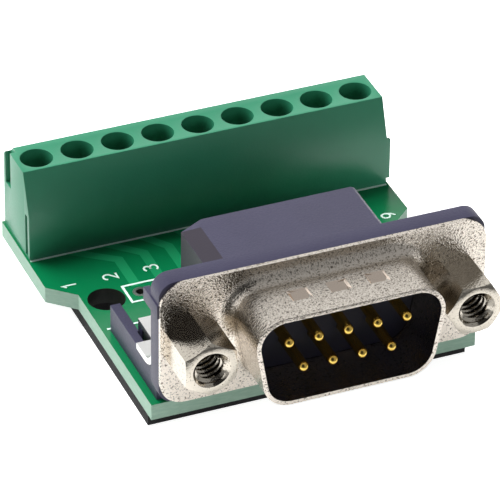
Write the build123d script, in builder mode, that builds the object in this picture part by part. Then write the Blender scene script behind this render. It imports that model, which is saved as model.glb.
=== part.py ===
"""D-sub terminal block adapter.

A nine-pin right-angle D-sub plug and a nine-way screw terminal block share one circuit board.
X runs across the board, Y from the plug towards the terminal block, Z up. The origin lies midway
between the two mounting holes, on the plane that the adapter rests on. All sizes are millimetres.
"""
import os
from math import radians, tan

from build123d import *

# Standard spacings of the plug and of the terminal block, which the rest follows
WAYS = 9
SHELL_WIDTH = 16.92
SHELL_HEIGHT = 8.36
JACKS_OVER_SHELL = 8.07
FLANGE_OVER_JACKS = 5.82
FLANGE_OVER_SHELL = 4.19
POLE_PITCH = 3.96
JACK_SPACING = SHELL_WIDTH + JACKS_OVER_SHELL
FLANGE_WIDTH = JACK_SPACING + FLANGE_OVER_JACKS
FLANGE_HEIGHT = SHELL_HEIGHT + FLANGE_OVER_SHELL

# Circuit board, narrow behind the flange and wide under the terminal block
BOARD_T = 1.6
BOARD_LENGTH = 32.2
NECK_OVER_FLANGE = 0.39
BOARD_OVER_BLOCK = 0.36
SHOULDER_START = 18.3
SHOULDER_RUN = 2.2
MOUNT_FROM_SIDE = 2.15
MOUNT_FROM_FRONT = 16.75
MOUNT_HOLE_D = 3.5
HEADER_PITCH = 2.54
HEADER_HOLE_D = 0.9
TAIL_SLACK = 0.05
NECK_WIDTH = FLANGE_WIDTH + NECK_OVER_FLANGE
BOARD_WIDTH = WAYS * POLE_PITCH + BOARD_OVER_BLOCK
MOUNT_SPACING = NECK_WIDTH - 2 * MOUNT_FROM_SIDE

# Insulating pad under the board
PAD_T = 1.65
PAD_SIDE_INSET = 0.25
PAD_FRONT_INSET = 1.5
PAD_BEHIND_MOUNTS = 4.35
PAD_WINDOW_MARGIN = 1.2
PAD_LENGTH = MOUNT_FROM_FRONT - PAD_FRONT_INSET + PAD_BEHIND_MOUNTS

# D-sub plug
PIN_PITCH = 2.77
PIN_ROW_GAP = 2.84
LONG_ROW_PINS = 5
SHORT_ROW_PINS = 4
FLANGE_OVERHANG = 1.7
AXIS_ABOVE_BOARD = 7.21
SHEET_T = 0.4
SHEET_CORNER_R = 2.3
SHELL_LEAN = 10
SHELL_CORNER_R = 2.3
SHELL_REACH = 6.0
SHELL_ROOT_R = 1.2
SHELL_INNER_ROOT = 0.9
SHELL_LIP = 0.12
DIMPLE_WIDTH = 1.9
DIMPLE_LENGTH = 1.6
DIMPLE_DEPTH = 0.3
DIMPLE_SLOPE_RUN = 0.25
DIMPLE_SPACING = 3.64
DIMPLE_FROM_FLANGE = 2.9
DIMPLE_COUNT = 3

# Insulator in the mouth
INSERT_PROUD = 0.9
INSERT_STEP = 0.2
INSERT_SLACK = 0.04

# Contact pins
PIN_D = 1.0
PIN_REACH = 5.6
PIN_TIP = 0.3
PIN_SLACK = 0.02
LEG_WIDTH = 0.6
LEG_BEND = 0.5
FIRST_ROW_BEHIND_FACE = 8.08
BOARD_ROW_GAP = 2.84
LEG_BELOW_BOARD = 1.2

# Moulded plug housing
HOUSING_FLANGE_T = 1.9
HOUSING_CORNER_R = 1.5
BODY_OVER_SHELL = 0.38
BODY_DEPTH = 11.4
BODY_CORNER_X = 2.2
BODY_CORNER_Y = 1.4
BODY_EDGE_BEVEL = 0.45
BODY_WALL = 1.3
BODY_ROOF = 0.9
ROOF_OVER_LEGS = 0.37
FOOT_BEYOND_JACK = 2.385
FOOT_WIDTH = 0.95
FOOT_HEIGHT = 2.75
FOOT_LENGTH = 6.75
RIB_WIDTH = 0.5
TAB_LOW = 2.79
TAB_HEIGHT = 1.35
TAB_PROUD = 0.15
TAB_REACH = 1.4
TAB_WIDTH = 0.6

# Folded brackets that carry the jack screws
BRACKET_T = 0.6
BRACKET_WIDTH = 5.2
BRACKET_TOP = 2.69
BRACKET_LENGTH = 7.8
BRACKET_BEND_R = 2.1
NOTCH_GAP = 0.33
SEAT_START = 2.4
LOCK_HOLE_D = 3.2
LOCK_LEG_T = 0.5
LOCK_LEG_WIDTH = 1.3
LOCK_LEG_GAP = 1.2
LOCK_BARB = 0.5
LOCK_BELOW_BOARD = 1.3
LOCK_SLACK = 0.3

# Jack screws, 4-40 thread
JACK_FLATS = 4.75
JACK_LENGTH = 4.75
JACK_FACE_D = 4.6
JACK_BORE_D = 2.4
JACK_MOUTH_D = 3.2
JACK_BORE_DEPTH = 4.4
LEFT_JACK_TURN = 30
RIGHT_JACK_TURN = 0
JACK_SHANK_D = 2.7
JACK_SHANK_LENGTH = 5.2
JACK_CHAMFER = 30
SHANK_SLACK = 0.1

# Terminal block
BLOCK_FROM_FRONT = 25.07
BLOCK_HEIGHT = 8.82
BLOCK_DEPTH = 6.75
BLOCK_BEND_HEIGHT = 4.8
BLOCK_FRONT_LEAN = 1.4
BLOCK_REAR_BEVEL = 1.09
SCREW_FROM_BLOCK_FACE = 3.26
SCREW_HOLE_D = 3.05
CHAMBER_WALL = 0.76
CHAMBER_START = 1.25
CHAMBER_DEPTH = 3.4
CHAMBER_HEIGHT = 5.75
ENTRY_SHOULDER = 0.3
ENTRY_LOW = 0.6
ENTRY_HEIGHT = 1.85
ENTRY_FUNNEL = 0.45
GROOVE_START = 4.9
GROOVE_WIDTH = 1.35
GROOVE_LOW = 4.91
GROOVE_DEPTH = 0.55
SLOT_START = 0.48
SLOT_WIDTH = 0.6
SLOT_LOW = 0.2
SLOT_TOP = 4.55
SLOT_DEPTH = 0.7
JOIN_GAP = 0.1
TONGUE_PROUD = 0.2
CHAMBER_WIDTH = POLE_PITCH - CHAMBER_WALL
ENTRY_WIDTH = CHAMBER_WIDTH - 2 * ENTRY_SHOULDER

# Clamp of each way, M2 thread
SCREW_D = 2.0
SCREW_HEAD_SLACK = 0.075
SCREW_THREAD_SLACK = 0.03
HEAD_HEIGHT = 1.05
SLOT_CUT_WIDTH = 0.45
SLOT_CUT_DEPTH = 0.6
CAGE_LOW = 0.3
CAGE_CLEAR = 0.15
CAGE_LENGTH = 2.5
CAGE_FLOOR = 0.45
CAGE_SIDE = 0.35
CAGE_TOP = 0.8
CAGE_WINDOW = 2.55
BAR_CLEAR = 0.15
BAR_T = 0.6
BAR_LOW = 2.5
BAR_GAP = 0.05
BAR_LEG_T = 0.5
BAR_LEG_WIDTH = 0.9
TAIL_CLEAR = 0.1
CAGE_WIDTH = CHAMBER_WIDTH - 2 * CAGE_CLEAR
BAR_WIDTH = CAGE_WIDTH - 2 * CAGE_SIDE - 2 * BAR_CLEAR

# Half width of a band in which an edge or face counts as lying on a plane
LEVEL_BAND = 0.01

# Places that follow from the sizes above
BOARD_TOP = PAD_T + BOARD_T
BOARD_FRONT_Y = -MOUNT_FROM_FRONT
BOARD_REAR_Y = BOARD_FRONT_Y + BOARD_LENGTH
FACE_Y = BOARD_FRONT_Y - FLANGE_OVERHANG
HOUSING_Y = FACE_Y + SHEET_T
FLANGE_REAR_Y = HOUSING_Y + HOUSING_FLANGE_T
BODY_REAR_Y = FLANGE_REAR_Y + BODY_DEPTH
AXIS_Z = BOARD_TOP + AXIS_ABOVE_BOARD
JACK_X = JACK_SPACING / 2
BODY_WIDTH = SHELL_WIDTH + BODY_OVER_SHELL
BODY_HEIGHT = AXIS_ABOVE_BOARD + PIN_ROW_GAP / 2 + LEG_WIDTH / 2 + ROOF_OVER_LEGS + BODY_ROOF
FOOT_OUTER_X = JACK_X + FOOT_BEYOND_JACK
FRONT_ROW_Y = FACE_Y + FIRST_ROW_BEHIND_FACE
REAR_ROW_Y = FRONT_ROW_Y + BOARD_ROW_GAP
LOCK_Y = FRONT_ROW_Y
BLOCK_Y = BOARD_FRONT_Y + BLOCK_FROM_FRONT
BLOCK_REAR_Y = BLOCK_Y + BLOCK_DEPTH
BLOCK_SIDE_X = WAYS * POLE_PITCH / 2
SCREW_Y = BLOCK_Y + SCREW_FROM_BLOCK_FACE
CHAMBER_Y = BLOCK_Y + CHAMBER_START
CHAMBER_REAR_Y = CHAMBER_Y + CHAMBER_DEPTH
TERMINAL_LEG_Y = CHAMBER_Y + BAR_LEG_T / 2
BAR_TOP = BOARD_TOP + BAR_LOW + BAR_T


def centred(count, pitch):
    """Places of a row of so many things about the middle."""
    return [(i - (count - 1) / 2) * pitch for i in range(count)]


LONG_ROW = centred(LONG_ROW_PINS, PIN_PITCH)
SHORT_ROW = centred(SHORT_ROW_PINS, PIN_PITCH)
POLE_X = centred(WAYS, POLE_PITCH)

os.makedirs("parts", exist_ok=True)


def facing_front(y, x=0.0, z=AXIS_Z):
    """Plane across the plug at depth y, facing forwards, centred on the plug's axis."""
    return Plane((x, y, z), x_dir=(1, 0, 0), z_dir=(0, -1, 0))


def d_outline(grow):
    """Rounded trapezoid of the plug's mouth, wide side up, grown by a margin all round."""
    with BuildSketch() as outline:
        corner_loss = SHELL_CORNER_R / tan(radians(45 - SHELL_LEAN / 2)) - SHELL_CORNER_R
        Trapezoid(SHELL_WIDTH + 2 * corner_loss, SHELL_HEIGHT, 90 - SHELL_LEAN, rotation=180)
        fillet(outline.vertices(), SHELL_CORNER_R)
        if grow:
            offset(amount=grow, mode=Mode.REPLACE)
    return outline.sketch


def near_mouth(edge):
    """True for edges that belong to the mouth and not to the flange's own outline."""
    centre = edge.center()
    inside = abs(centre.X) < SHELL_WIDTH / 2 + SHELL_ROOT_R
    return inside and abs(centre.Z - AXIS_Z) < FLANGE_HEIGHT / 2 - SHEET_T


def edges_at(part, y):
    """Edges of the mouth that lie in the plane at depth y."""
    level = part.edges().filter_by_position(Axis.Y, y - LEVEL_BAND, y + LEVEL_BAND)
    return level.filter_by(near_mouth)


# Circuit board: narrow where the plug sits, wide under the terminal block
with BuildPart() as circuit_board:
    with BuildSketch(Plane.XY.offset(PAD_T)):
        with BuildLine():
            shoulder_y = BOARD_FRONT_Y + SHOULDER_START
            wide_y = shoulder_y + SHOULDER_RUN
            Polyline(
                (0, BOARD_FRONT_Y),
                (NECK_WIDTH / 2, BOARD_FRONT_Y),
                (NECK_WIDTH / 2, shoulder_y),
                (BOARD_WIDTH / 2, wide_y),
                (BOARD_WIDTH / 2, BOARD_REAR_Y),
                (0, BOARD_REAR_Y),
            )
            mirror(about=Plane.YZ)
        make_face()
        with GridLocations(MOUNT_SPACING, 0, 2, 1):
            Circle(MOUNT_HOLE_D / 2, mode=Mode.SUBTRACT)
        with GridLocations(HEADER_PITCH, 0, WAYS, 1):
            Circle(HEADER_HOLE_D / 2, mode=Mode.SUBTRACT)
        with Locations((-JACK_X, LOCK_Y), (JACK_X, LOCK_Y)):
            Circle(LOCK_HOLE_D / 2, mode=Mode.SUBTRACT)
        # Solder fills the round holes of the tails, so each opening has the section of its tail
        with Locations(*[(x, REAR_ROW_Y) for x in LONG_ROW], *[(x, FRONT_ROW_Y) for x in SHORT_ROW]):
            Rectangle(LEG_WIDTH + 2 * TAIL_SLACK, LEG_WIDTH + 2 * TAIL_SLACK, mode=Mode.SUBTRACT)
        with Locations(*[(x, TERMINAL_LEG_Y) for x in POLE_X]):
            Rectangle(BAR_LEG_WIDTH + 2 * TAIL_SLACK, BAR_LEG_T + 2 * TAIL_SLACK, mode=Mode.SUBTRACT)
    extrude(amount=BOARD_T)

# Insulating pad: set in from the board's edges, open round the solder tails
with BuildPart() as insulating_pad:
    pad_front_y = BOARD_FRONT_Y + PAD_FRONT_INSET
    tail_window_y = (FRONT_ROW_Y + REAR_ROW_Y) / 2
    with BuildSketch():
        with Locations((0, pad_front_y)):
            Rectangle(NECK_WIDTH - 2 * PAD_SIDE_INSET, PAD_LENGTH, align=(Align.CENTER, Align.MIN))
        with GridLocations(MOUNT_SPACING, 0, 2, 1):
            Circle(MOUNT_HOLE_D / 2, mode=Mode.SUBTRACT)
        with Locations((-JACK_X, LOCK_Y), (JACK_X, LOCK_Y)):
            Rectangle(LOCK_HOLE_D + PAD_WINDOW_MARGIN, LOCK_HOLE_D + PAD_WINDOW_MARGIN, mode=Mode.SUBTRACT)
        with Locations((0, tail_window_y)):
            Rectangle(
                LONG_ROW[-1] - LONG_ROW[0] + 2 * PAD_WINDOW_MARGIN,
                BOARD_ROW_GAP + 2 * PAD_WINDOW_MARGIN,
                mode=Mode.SUBTRACT,
            )
    extrude(amount=PAD_T)

# Drawn steel front: flange and D-shaped shell in one sheet, with pressed dimples
with BuildPart() as front_shell:
    with BuildSketch(facing_front(HOUSING_Y)):
        RectangleRounded(FLANGE_WIDTH, FLANGE_HEIGHT, SHEET_CORNER_R)
    extrude(amount=SHEET_T)
    with BuildSketch(facing_front(FACE_Y)):
        add(d_outline(SHEET_T))
    extrude(amount=SHELL_REACH)
    fillet(edges_at(front_shell, FACE_Y), SHELL_ROOT_R)
    chamfer(edges_at(front_shell, FACE_Y - SHELL_REACH), SHELL_LIP)
    with BuildSketch(facing_front(HOUSING_Y)):
        add(d_outline(0))
    extrude(amount=SHEET_T + SHELL_REACH, mode=Mode.SUBTRACT)
    chamfer(edges_at(front_shell, HOUSING_Y), SHELL_INNER_ROOT)
    with BuildSketch(facing_front(FACE_Y)):
        with GridLocations(JACK_SPACING, 0, 2, 1):
            Circle(JACK_SHANK_D / 2 + SHANK_SLACK)
    extrude(amount=-SHEET_T, mode=Mode.SUBTRACT)
    dimple_y = FACE_Y - DIMPLE_FROM_FLANGE
    inner_z = AXIS_Z + SHELL_HEIGHT / 2
    for dimple_x in centred(DIMPLE_COUNT, DIMPLE_SPACING):
        for level, action in ((inner_z, Mode.ADD), (inner_z + SHEET_T, Mode.SUBTRACT)):
            rim = Plane((dimple_x, dimple_y, level), x_dir=(1, 0, 0), z_dir=(0, 0, -1))
            with BuildSketch(rim):
                Rectangle(DIMPLE_WIDTH, DIMPLE_LENGTH)
            with BuildSketch(rim.offset(DIMPLE_DEPTH)):
                Rectangle(DIMPLE_WIDTH - 2 * DIMPLE_SLOPE_RUN, DIMPLE_LENGTH - 2 * DIMPLE_SLOPE_RUN)
            loft(mode=action)

# Insulator in the mouth, with a small step between its two rows of holes
with BuildPart() as pin_insert:
    with BuildSketch(facing_front(HOUSING_Y)):
        add(d_outline(-INSERT_SLACK))
    extrude(amount=SHEET_T + INSERT_PROUD)
    with BuildSketch(facing_front(FACE_Y - INSERT_PROUD)):
        with Locations((0, -SHELL_HEIGHT / 2)):
            Rectangle(SHELL_WIDTH, SHELL_HEIGHT / 2, align=(Align.CENTER, Align.MIN))
    extrude(amount=-INSERT_STEP, mode=Mode.SUBTRACT)
    with BuildSketch(facing_front(HOUSING_Y)):
        with Locations(*[(x, PIN_ROW_GAP / 2) for x in LONG_ROW]):
            Circle(PIN_D / 2 + PIN_SLACK)
        with Locations(*[(x, -PIN_ROW_GAP / 2) for x in SHORT_ROW]):
            Circle(PIN_D / 2 + PIN_SLACK)
    extrude(amount=SHEET_T + INSERT_PROUD, mode=Mode.SUBTRACT)

# Moulded housing: flange, hollow rear body, feet beside the brackets and end tabs
with BuildPart() as dsub_housing:
    with BuildSketch(facing_front(FLANGE_REAR_Y)):
        RectangleRounded(FLANGE_WIDTH, FLANGE_HEIGHT, HOUSING_CORNER_R)
    extrude(amount=HOUSING_FLANGE_T)
    with BuildSketch(Plane.XY.offset(BOARD_TOP)):
        with BuildLine():
            Polyline(
                (0, FLANGE_REAR_Y),
                (BODY_WIDTH / 2, FLANGE_REAR_Y),
                (BODY_WIDTH / 2, BODY_REAR_Y - BODY_CORNER_Y),
                (BODY_WIDTH / 2 - BODY_CORNER_X, BODY_REAR_Y),
                (0, BODY_REAR_Y),
            )
            mirror(about=Plane.YZ)
        make_face()
    extrude(amount=BODY_HEIGHT)
    roof_z = BOARD_TOP + BODY_HEIGHT
    body_rim = dsub_housing.edges().filter_by_position(Axis.Z, roof_z - LEVEL_BAND, roof_z + LEVEL_BAND)
    behind_flange = body_rim.filter_by_position(Axis.Y, FLANGE_REAR_Y + LEVEL_BAND, BODY_REAR_Y + LEVEL_BAND)
    chamfer(behind_flange, BODY_EDGE_BEVEL)
    with BuildSketch(Plane.XY.offset(BOARD_TOP)):
        with Locations((0, FLANGE_REAR_Y + BODY_WALL)):
            Rectangle(
                BODY_WIDTH - 2 * BODY_WALL,
                BODY_DEPTH - 2 * BODY_WALL - BODY_CORNER_Y / 2,
                align=(Align.CENTER, Align.MIN),
            )
    extrude(amount=BODY_HEIGHT - BODY_ROOF, mode=Mode.SUBTRACT)
    with BuildSketch(Plane.XY.offset(BOARD_TOP)):
        foot_x = FOOT_OUTER_X - FOOT_WIDTH / 2
        seat_x = JACK_X - BRACKET_WIDTH / 2
        notch_x = FOOT_OUTER_X - FOOT_WIDTH - NOTCH_GAP
        seat_y = FLANGE_REAR_Y + SEAT_START
        notch_y = BODY_REAR_Y - FOOT_LENGTH - NOTCH_GAP
        for side in (-1, 1):
            with Locations((side * foot_x, BODY_REAR_Y - FOOT_LENGTH / 2)):
                SlotOverall(FOOT_LENGTH, FOOT_WIDTH, rotation=90)
            with Locations((side * foot_x, BODY_REAR_Y - FOOT_WIDTH)):
                Rectangle(FOOT_WIDTH, 2 * FOOT_WIDTH)
            with Locations((side * (FOOT_OUTER_X - RIB_WIDTH / 2), FLANGE_REAR_Y)):
                Rectangle(RIB_WIDTH, BODY_DEPTH - FOOT_WIDTH, align=(Align.CENTER, Align.MIN))
            with Locations((side * (seat_x + FOOT_OUTER_X - RIB_WIDTH / 2) / 2, (seat_y + notch_y) / 2)):
                Rectangle(FOOT_OUTER_X - RIB_WIDTH / 2 - seat_x, notch_y - seat_y)
            with Locations((side * (seat_x + notch_x) / 2, seat_y)):
                Rectangle(notch_x - seat_x, BRACKET_LENGTH - SEAT_START, align=(Align.CENTER, Align.MIN))
            with Locations((side * JACK_X, LOCK_Y)):
                Rectangle(LOCK_HOLE_D, LOCK_LEG_WIDTH + 2 * LOCK_SLACK, mode=Mode.SUBTRACT)
    extrude(amount=FOOT_HEIGHT)
    with BuildSketch(facing_front(HOUSING_Y + HOUSING_FLANGE_T + TAB_REACH)):
        for side in (-1, 1):
            tab_x = side * (FLANGE_WIDTH / 2 + TAB_PROUD - TAB_WIDTH / 2)
            with Locations((tab_x, TAB_LOW + TAB_HEIGHT / 2)):
                Rectangle(TAB_WIDTH, TAB_HEIGHT)
    extrude(amount=HOUSING_FLANGE_T + TAB_REACH)
    with BuildSketch(facing_front(HOUSING_Y)):
        for row, level in ((LONG_ROW, PIN_ROW_GAP / 2), (SHORT_ROW, -PIN_ROW_GAP / 2)):
            with Locations((0, level)):
                Rectangle(row[-1] - row[0] + PIN_D + 2 * PIN_SLACK, PIN_D + 2 * PIN_SLACK)
        with GridLocations(JACK_SPACING, 0, 2, 1):
            Circle(JACK_SHANK_D / 2 + SHANK_SLACK)
    extrude(amount=-(HOUSING_FLANGE_T + BODY_WALL), mode=Mode.SUBTRACT)


def contact_pin(x, row_z, board_y):
    """Gold plated contact: round pin in the mouth, flat leg bent down into the board."""
    tip_y = FACE_Y - PIN_REACH
    shoulder_y = FLANGE_REAR_Y
    with BuildPart() as pin:
        with BuildSketch(facing_front(shoulder_y, x, row_z)):
            Circle(PIN_D / 2)
        extrude(amount=shoulder_y - tip_y)
        chamfer(pin.edges().group_by(Axis.Y)[0], PIN_TIP)
        half = LEG_WIDTH / 2
        tail_z = PAD_T - LEG_BELOW_BOARD
        with BuildSketch(Plane.YZ.offset(x)):
            with BuildLine():
                Polyline(
                    (shoulder_y - PIN_D, row_z + half),
                    (board_y + half - LEG_BEND, row_z + half),
                    (board_y + half, row_z + half - LEG_BEND),
                    (board_y + half, tail_z),
                    (board_y - half, tail_z),
                    (board_y - half, row_z - half),
                    (shoulder_y - PIN_D, row_z - half),
                    close=True,
                )
            make_face()
        extrude(amount=half, both=True)
    return pin


def bracket(side):
    """Folded bracket behind one end of the flange: jack screw leg, foot and two board lock legs."""
    centre_x = side * JACK_X
    foot_z = BOARD_TOP + FOOT_HEIGHT + BRACKET_T / 2
    leg_y = FLANGE_REAR_Y + BRACKET_T / 2
    lock_bottom = PAD_T - LOCK_BELOW_BOARD
    with BuildPart() as folded:
        with BuildSketch(Plane.YZ.offset(centre_x)):
            with BuildLine():
                FilletPolyline(
                    (leg_y, AXIS_Z + BRACKET_TOP),
                    (leg_y, foot_z),
                    (FLANGE_REAR_Y + BRACKET_LENGTH, foot_z),
                    radius=BRACKET_BEND_R,
                )
            trace(line_width=BRACKET_T)
        extrude(amount=BRACKET_WIDTH / 2, both=True)
        with BuildSketch(Plane.XY.offset(foot_z)):
            foot_front_y = BODY_REAR_Y - FOOT_LENGTH
            with Locations((side * (FOOT_OUTER_X - FOOT_WIDTH - NOTCH_GAP), foot_front_y - NOTCH_GAP)):
                notch_x = Align.MIN if side > 0 else Align.MAX
                Rectangle(BRACKET_WIDTH, FOOT_LENGTH, align=(notch_x, Align.MIN))
        extrude(amount=BRACKET_T, both=True, mode=Mode.SUBTRACT)
        with BuildSketch(facing_front(FLANGE_REAR_Y, centre_x)):
            Circle(JACK_SHANK_D / 2 + SHANK_SLACK)
        extrude(amount=-BRACKET_T, mode=Mode.SUBTRACT)
        with BuildSketch(Plane.XZ.offset(-LOCK_Y)):
            for way in (-1, 1):
                inner = centre_x + way * LOCK_LEG_GAP / 2
                outer = inner + way * LOCK_LEG_T
                with BuildLine():
                    Polyline(
                        (inner, foot_z),
                        (outer, foot_z),
                        (outer, PAD_T),
                        (outer + way * LOCK_BARB, PAD_T - LOCK_BARB / 2),
                        (outer, lock_bottom),
                        (inner, lock_bottom),
                        close=True,
                    )
                make_face()
        extrude(amount=LOCK_LEG_WIDTH / 2, both=True)
    return folded


def jack_screw(side, turn):
    """Hexagonal jack screw, threaded mouth in front and threaded shank behind."""
    centre_x = side * JACK_X
    face_y = FACE_Y - JACK_LENGTH
    spread = JACK_LENGTH / tan(radians(JACK_CHAMFER))
    with BuildPart() as screw:
        with BuildSketch(facing_front(FACE_Y, centre_x)):
            RegularPolygon(JACK_FLATS / 2, 6, major_radius=False, rotation=turn)
        extrude(amount=JACK_LENGTH)
        with Locations((centre_x, FACE_Y, AXIS_Z)):
            Cone(
                JACK_FACE_D / 2 + spread,
                JACK_FACE_D / 2,
                JACK_LENGTH,
                rotation=(90, 0, 0),
                align=(Align.CENTER, Align.CENTER, Align.MIN),
                mode=Mode.INTERSECT,
            )
        with BuildSketch(facing_front(FACE_Y, centre_x)):
            Circle(JACK_SHANK_D / 2)
        extrude(amount=-JACK_SHANK_LENGTH)
        with Locations(facing_front(face_y, centre_x)):
            CounterSinkHole(JACK_BORE_D / 2, JACK_MOUTH_D / 2, JACK_BORE_DEPTH, 90)
    return screw


# Terminal block moulding: nine chambers in a row, screw holes on top, wire entries behind
with BuildPart() as terminal_housing:
    with BuildSketch(Plane.YZ):
        with BuildLine():
            Polyline(
                (BLOCK_Y, BOARD_TOP),
                (BLOCK_Y, BOARD_TOP + BLOCK_BEND_HEIGHT),
                (BLOCK_Y + BLOCK_FRONT_LEAN, BOARD_TOP + BLOCK_HEIGHT),
                (BLOCK_REAR_Y - BLOCK_REAR_BEVEL, BOARD_TOP + BLOCK_HEIGHT),
                (BLOCK_REAR_Y, BOARD_TOP + BLOCK_HEIGHT - BLOCK_REAR_BEVEL),
                (BLOCK_REAR_Y, BOARD_TOP),
                close=True,
            )
        make_face()
    extrude(amount=BLOCK_SIDE_X, both=True)
    with BuildSketch(Plane.XY.offset(BOARD_TOP)):
        with Locations((0, CHAMBER_Y + CHAMBER_DEPTH / 2)):
            with GridLocations(POLE_PITCH, 0, WAYS, 1):
                Rectangle(CHAMBER_WIDTH, CHAMBER_DEPTH)
    extrude(amount=CHAMBER_HEIGHT, mode=Mode.SUBTRACT)
    with BuildSketch(Plane.XY.offset(BOARD_TOP + CHAMBER_HEIGHT)):
        with Locations((0, SCREW_Y)):
            with GridLocations(POLE_PITCH, 0, WAYS, 1):
                Circle(SCREW_HOLE_D / 2)
    extrude(amount=BLOCK_HEIGHT - CHAMBER_HEIGHT, mode=Mode.SUBTRACT)
    entry_z = BOARD_TOP + ENTRY_LOW + ENTRY_HEIGHT / 2
    entry_plane = Plane((0, BLOCK_REAR_Y, entry_z), x_dir=(-1, 0, 0), z_dir=(0, 1, 0))
    with BuildSketch(entry_plane):
        with GridLocations(POLE_PITCH, 0, WAYS, 1):
            Rectangle(ENTRY_WIDTH, ENTRY_HEIGHT)
    extrude(amount=-(BLOCK_REAR_Y - CHAMBER_REAR_Y), mode=Mode.SUBTRACT)
    rear_edges = terminal_housing.edges().filter_by_position(
        Axis.Y, BLOCK_REAR_Y - LEVEL_BAND, BLOCK_REAR_Y + LEVEL_BAND
    )
    entry_reach = ENTRY_HEIGHT / 2 + LEVEL_BAND
    chamfer(rear_edges.filter_by_position(Axis.Z, entry_z - entry_reach, entry_z + entry_reach), ENTRY_FUNNEL)
    with BuildSketch(Plane.YZ.offset(-BLOCK_SIDE_X)):
        with Locations((BLOCK_Y + GROOVE_START, BOARD_TOP + GROOVE_LOW)):
            Rectangle(GROOVE_WIDTH, BLOCK_HEIGHT, align=(Align.MIN, Align.MIN))
    extrude(amount=GROOVE_DEPTH, mode=Mode.SUBTRACT)
    with BuildSketch(Plane.YZ.offset(-BLOCK_SIDE_X)):
        with Locations((BLOCK_Y + SLOT_START, BOARD_TOP + SLOT_LOW)):
            Rectangle(SLOT_WIDTH, SLOT_TOP - SLOT_LOW, align=(Align.MIN, Align.MIN))
    extrude(amount=SLOT_DEPTH, mode=Mode.SUBTRACT)
    with BuildSketch(Plane.YZ.offset(BLOCK_SIDE_X)):
        with Locations((BLOCK_Y + SLOT_START + JOIN_GAP, BOARD_TOP + SLOT_LOW)):
            Rectangle(SLOT_WIDTH - 2 * JOIN_GAP, SLOT_TOP - SLOT_LOW - JOIN_GAP, align=(Align.MIN, Align.MIN))
    extrude(amount=SLOT_DEPTH - JOIN_GAP)
    with BuildSketch(Plane.YZ.offset(BLOCK_SIDE_X)):
        with Locations((BLOCK_Y + GROOVE_START + JOIN_GAP, BOARD_TOP + GROOVE_LOW + JOIN_GAP)):
            Rectangle(
                GROOVE_WIDTH - 2 * JOIN_GAP,
                BLOCK_HEIGHT - BLOCK_REAR_BEVEL - GROOVE_LOW - JOIN_GAP,
                align=(Align.MIN, Align.MIN),
            )
    extrude(amount=TONGUE_PROUD)


def terminal_contact(x):
    """Contact bar across the chamber, with a leg down through the board."""
    with BuildPart() as contact:
        with BuildSketch(Plane.XY.offset(BAR_TOP)):
            with Locations((x, TERMINAL_LEG_Y - BAR_LEG_T / 2)):
                Rectangle(
                    BAR_WIDTH,
                    CHAMBER_REAR_Y - TERMINAL_LEG_Y + BAR_LEG_T / 2,
                    align=(Align.CENTER, Align.MIN),
                )
        extrude(amount=-BAR_T)
        with BuildSketch(Plane.XY.offset(TAIL_CLEAR)):
            with Locations((x, TERMINAL_LEG_Y)):
                Rectangle(BAR_LEG_WIDTH, BAR_LEG_T)
        extrude(amount=BAR_TOP - TAIL_CLEAR)
    return contact


def clamp_cage(x):
    """Rising clamp: a frame open front to back, with a threaded hole in its top wall."""
    height = CAGE_FLOOR + CAGE_WINDOW + CAGE_TOP
    low_z = BOARD_TOP + CAGE_LOW
    with BuildPart() as cage:
        with BuildSketch(facing_front(SCREW_Y + CAGE_LENGTH / 2, x, low_z)):
            Rectangle(CAGE_WIDTH, height, align=(Align.CENTER, Align.MIN))
            with Locations((0, CAGE_FLOOR)):
                Rectangle(
                    CAGE_WIDTH - 2 * CAGE_SIDE,
                    CAGE_WINDOW,
                    align=(Align.CENTER, Align.MIN),
                    mode=Mode.SUBTRACT,
                )
        extrude(amount=CAGE_LENGTH)
        with BuildSketch(Plane.XY.offset(low_z + height)):
            with Locations((x, SCREW_Y)):
                Circle(SCREW_D / 2 + SCREW_THREAD_SLACK)
        extrude(amount=-CAGE_TOP, mode=Mode.SUBTRACT)
    return cage


def clamp_screw(x):
    """Slotted cheese head screw that stands on the contact bar."""
    head_z = BOARD_TOP + CHAMBER_HEIGHT
    with BuildPart() as screw:
        with BuildSketch(Plane.XY.offset(BAR_TOP + BAR_GAP)):
            with Locations((x, SCREW_Y)):
                Circle(SCREW_D / 2)
        extrude(amount=head_z - BAR_TOP - BAR_GAP)
        with BuildSketch(Plane.XY.offset(head_z)):
            with Locations((x, SCREW_Y)):
                Circle(SCREW_HOLE_D / 2 - SCREW_HEAD_SLACK)
        extrude(amount=HEAD_HEIGHT)
        with BuildSketch(Plane.XY.offset(head_z + HEAD_HEIGHT)):
            with Locations((x, SCREW_Y)):
                Rectangle(SCREW_HOLE_D, SLOT_CUT_WIDTH)
        extrude(amount=-SLOT_CUT_DEPTH, mode=Mode.SUBTRACT)
    return screw


pieces = {
    "circuit_board": circuit_board,
    "insulating_pad": insulating_pad,
    "front_shell": front_shell,
    "pin_insert": pin_insert,
    "dsub_housing": dsub_housing,
    "bracket_left": bracket(-1),
    "bracket_right": bracket(1),
    "jack_screw_left": jack_screw(-1, LEFT_JACK_TURN),
    "jack_screw_right": jack_screw(1, RIGHT_JACK_TURN),
    "terminal_housing": terminal_housing,
}
for index, x in enumerate(LONG_ROW, start=1):
    pieces[f"contact_pin_{index}"] = contact_pin(x, AXIS_Z + PIN_ROW_GAP / 2, REAR_ROW_Y)
for index, x in enumerate(SHORT_ROW, start=6):
    pieces[f"contact_pin_{index}"] = contact_pin(x, AXIS_Z - PIN_ROW_GAP / 2, FRONT_ROW_Y)
for index, x in enumerate(POLE_X, start=1):
    pieces[f"terminal_contact_{index}"] = terminal_contact(x)
    pieces[f"clamp_cage_{index}"] = clamp_cage(x)
    pieces[f"clamp_screw_{index}"] = clamp_screw(x)

for name, piece in pieces.items():
    piece.part.label = name
    export_step(piece.part, f"parts/{name}.step")
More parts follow.
